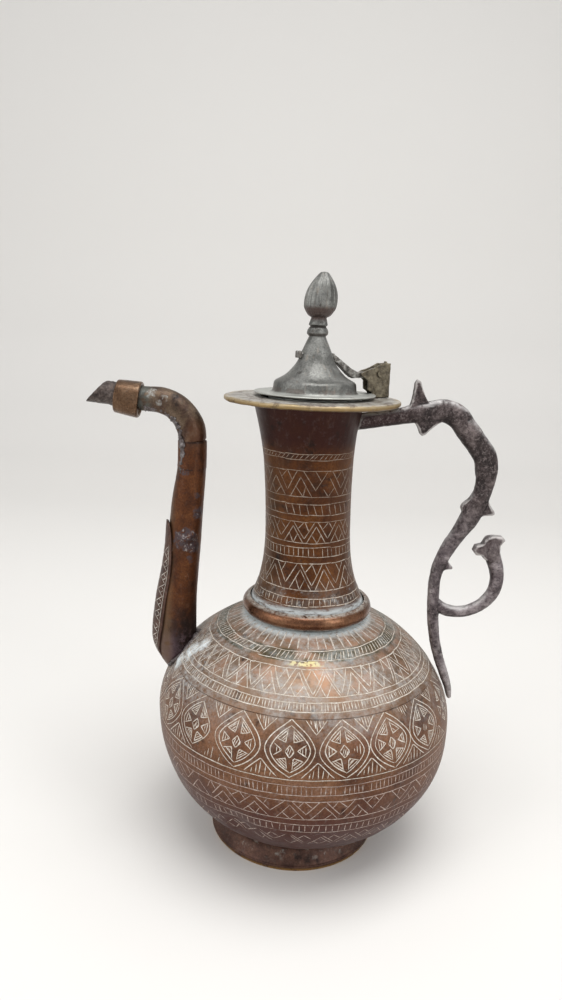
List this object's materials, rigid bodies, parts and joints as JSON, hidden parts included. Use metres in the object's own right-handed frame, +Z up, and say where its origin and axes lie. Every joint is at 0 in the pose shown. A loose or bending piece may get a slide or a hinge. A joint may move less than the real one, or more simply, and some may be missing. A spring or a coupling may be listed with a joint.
{
  "type": "ewer",
  "caption": "Long-necked copper ewer on a low foot, with a round belly, wide flat rim, bent spout with a cut beak, cast S handle with thorns, and a conical hinged lid.",
  "frame": {"origin": "middle of the overall outline in plan, on the table under the foot; the axis of the foot and rim lies 4.1 mm to +X of it", "axes": "+Z up from the foot to the finial, +X from the spout towards the handle, +Y to the back, across the thin direction of spout and handle"},
  "size_m": [0.2604, 0.186, 0.3559],
  "materials": {
    "neck_copper": "worn, dark amber copper, softly polished",
    "belly_copper": "dull tan copper with old scratches",
    "dark_copper": "dark oxidised copper",
    "tinned_copper": "grey-green tinned copper, dull",
    "cast_alloy": "dark casting, worn bright on its ridges",
    "old_brass": "brassy grey, dull"
  },
  "bodies": {
    "ewer": {"foot_ring": "dark_copper", "belly_lower": "belly_copper", "belly_upper": "belly_copper", "collar_ring": "belly_copper", "neck": "neck_copper", "rim_plate": "old_brass", "spout_stem": "neck_copper", "spout_sheath": "dark_copper", "spout_elbow": "neck_copper", "spout_collar": "belly_copper", "spout_nozzle": "dark_copper", "handle": "cast_alloy", "hinge_bracket": "old_brass", "hinge_pin": "old_brass"},
    "lid": {"lid_shell": "tinned_copper", "lid_bezel": "tinned_copper", "lid_finial": "tinned_copper", "hinge_strap": "tinned_copper"}
  },
  "joints": [
    {"name": "lid_hinge", "type": "hinge", "parent": "ewer", "child": "lid", "pos_m": [0.04442, 0.01298, 0.2986], "axis": [-0.309, 0.9511, 0], "range_deg": [0, 108]}
  ]
}
